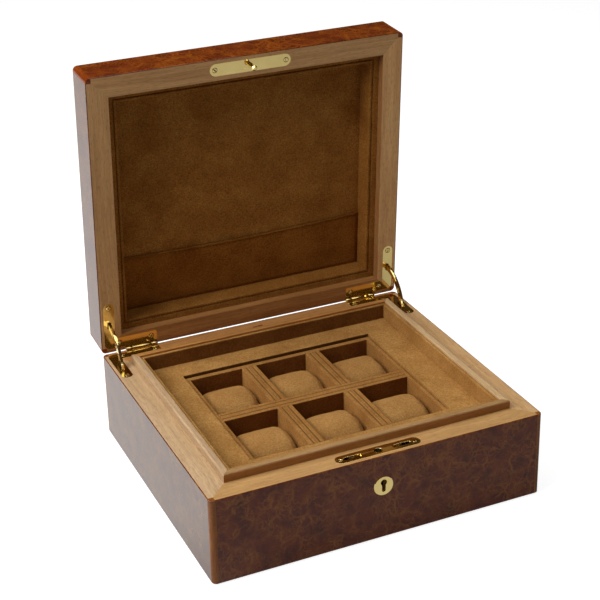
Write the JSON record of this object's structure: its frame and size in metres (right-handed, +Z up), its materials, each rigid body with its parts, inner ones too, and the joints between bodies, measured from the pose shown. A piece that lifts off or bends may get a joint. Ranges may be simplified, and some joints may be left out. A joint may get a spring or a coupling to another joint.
{
  "type": "wooden watch box",
  "caption": "Veneered wooden watch box with a hinged lid on quadrant hinges, a raised lip, a box lock and a suede insert whose compartments hold watch cushions.",
  "frame": {"origin": "centre of the base's underside", "axes": "+X right along the front, +Y to the back where the hinges are, +Z up"},
  "size_m": [0.3, 0.3016, 0.3459],
  "materials": {
    "burr_veneer": "high-gloss lacquered burr veneer",
    "edge_strip": "gloss lacquered straight-grained wood",
    "rim_wood": "satin lacquered light wood",
    "lip_wood": "satin lacquered light wood",
    "lid_wood": "satin lacquered light wood",
    "board": "plain plywood",
    "suede": "tan faux suede over card",
    "suede_dark": "brown faux suede over card",
    "cushion_suede": "tan faux suede over foam",
    "brass": "polished brass",
    "steel": "plain steel",
    "baize": "brown baize"
  },
  "bodies": {
    "base": {"base_front_wall": "rim_wood", "base_front_veneer": "burr_veneer", "lip_front": "lip_wood", "base_liner_front": "suede", "base_back_wall": "rim_wood", "base_back_veneer": "burr_veneer", "lip_back": "lip_wood", "base_liner_back": "suede", "base_left_wall": "rim_wood", "base_left_veneer": "burr_veneer", "lip_left": "lip_wood", "base_liner_left": "suede", "base_right_wall": "rim_wood", "base_right_veneer": "burr_veneer", "lip_right": "lip_wood", "base_liner_right": "suede", "base_corner_strips": "edge_strip", "base_bottom_board": "board", "base_baize": "baize", "floor_lining": "suede", "surround_panel": "suede", "panel_bearers": "board", "insert_tray": "suede", "insert_long_divider": "suede", "insert_cross_dividers": "suede", "lock_plate": "brass", "lock_case": "brass", "escutcheon": "brass", "hinge_pins": "brass", "left_hinge_base_leaf": "brass", "right_hinge_base_leaf": "brass"},
    "lid": {"lid_front_wall": "lid_wood", "lid_back_wall": "lid_wood", "lid_left_wall": "lid_wood", "lid_right_wall": "lid_wood", "left_hinge_lid_leaf": "brass", "right_hinge_lid_leaf": "brass", "strike_plate": "brass", "strike_stud": "brass", "lid_side_veneers": "burr_veneer", "lid_top_veneer": "burr_veneer", "lid_corner_strips": "edge_strip", "lid_top_board": "board", "lid_ledges": "suede_dark", "lid_liner": "suede_dark", "lid_panel": "suede_dark", "lid_pocket": "suede_dark"},
    "lock_bolt": {"lock_bolt": "steel"},
    "left_arm": {"left_quadrant_arm": "brass"},
    "right_arm": {"right_quadrant_arm": "brass"},
    "cushion_front_left": {"cushion_front_left": "cushion_suede"},
    "cushion_front_middle": {"cushion_front_middle": "cushion_suede"},
    "cushion_front_right": {"cushion_front_right": "cushion_suede"},
    "cushion_back_left": {"cushion_back_left": "cushion_suede"},
    "cushion_back_middle": {"cushion_back_middle": "cushion_suede"},
    "cushion_back_right": {"cushion_back_right": "cushion_suede"}
  },
  "joints": [
    {"name": "lid_hinge", "type": "hinge", "parent": "base", "child": "lid", "pos_m": [0, 0.1334, 0.0781], "axis": [-1, 0, 0], "range_deg": [-87, 0]},
    {"name": "left_arm_swing", "type": "hinge", "parent": "base", "child": "left_arm", "pos_m": [-0.14145, 0.1334, 0.0781], "axis": [-1, 0, 0], "range_deg": [-43.5, 0]},
    {"name": "right_arm_swing", "type": "hinge", "parent": "base", "child": "right_arm", "pos_m": [0.14145, 0.1334, 0.0781], "axis": [-1, 0, 0], "range_deg": [-43.5, 0]},
    {"name": "lock_throw", "type": "slide", "parent": "base", "child": "lock_bolt", "axis": [1, 0, 0], "range_m": [0, 0.005]},
    {"name": "cushion_front_left_lift", "type": "slide", "parent": "base", "child": "cushion_front_left", "axis": [0, 0, 1], "range_m": [0, 0.075]},
    {"name": "cushion_front_middle_lift", "type": "slide", "parent": "base", "child": "cushion_front_middle", "axis": [0, 0, 1], "range_m": [0, 0.075]},
    {"name": "cushion_front_right_lift", "type": "slide", "parent": "base", "child": "cushion_front_right", "axis": [0, 0, 1], "range_m": [0, 0.075]},
    {"name": "cushion_back_left_lift", "type": "slide", "parent": "base", "child": "cushion_back_left", "axis": [0, 0, 1], "range_m": [0, 0.075]},
    {"name": "cushion_back_middle_lift", "type": "slide", "parent": "base", "child": "cushion_back_middle", "axis": [0, 0, 1], "range_m": [0, 0.075]},
    {"name": "cushion_back_right_lift", "type": "slide", "parent": "base", "child": "cushion_back_right", "axis": [0, 0, 1], "range_m": [0, 0.075]}
  ],
  "couplings": [
    {"joint": "left_arm_swing", "follows": "lid_hinge", "ratio": 0.5},
    {"joint": "right_arm_swing", "follows": "lid_hinge", "ratio": 0.5}
  ]
}
